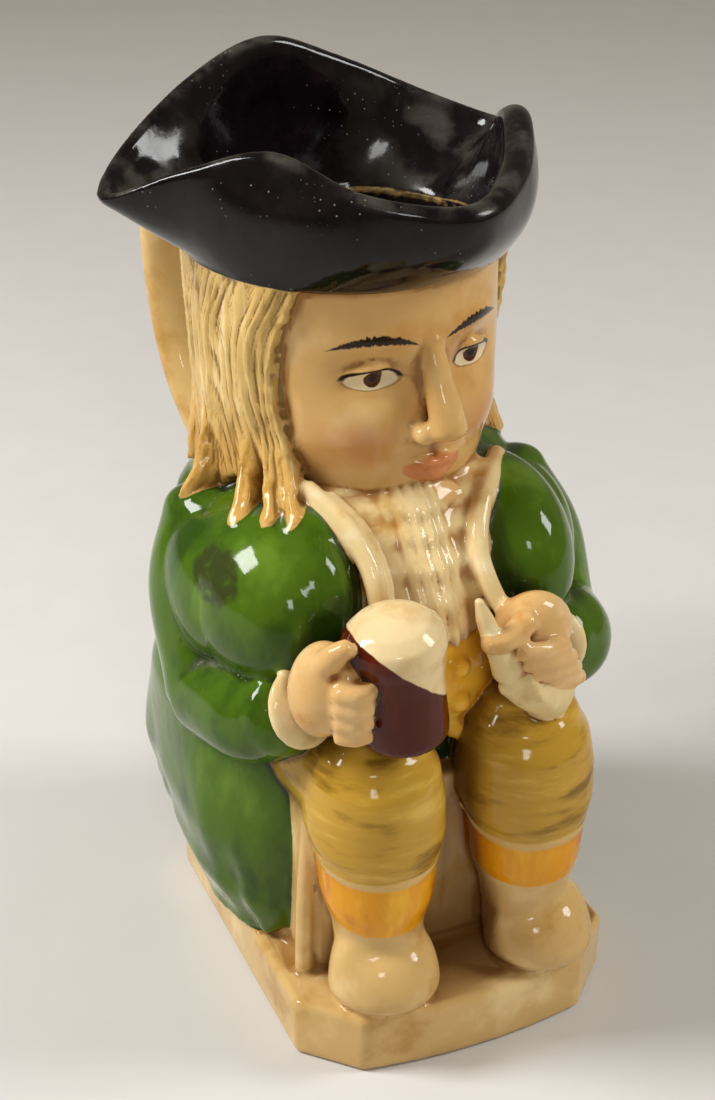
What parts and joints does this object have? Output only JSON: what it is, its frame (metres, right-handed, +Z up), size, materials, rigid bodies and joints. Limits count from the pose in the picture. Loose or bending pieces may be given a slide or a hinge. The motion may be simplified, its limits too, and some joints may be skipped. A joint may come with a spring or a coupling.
{
  "type": "toby jug",
  "caption": "Hollow glazed earthenware jug shaped as a seated man with a mug of ale; his tricorn hat is the open mouth and pouring lip, with a strap handle behind.",
  "frame": {"origin": "centre of the plinth's flat underside, which stands on the table", "axes": "+Z is up, the figure faces -Y, and the handle is at +Y; the figure's right hand is at -X"},
  "size_m": [0.1213, 0.1869, 0.24],
  "materials": {
    "glaze": "hand-painted glossy lead glaze over earthenware"
  },
  "bodies": {
    "root": {"toby_jug": "glaze"}
  },
  "joints": []
}
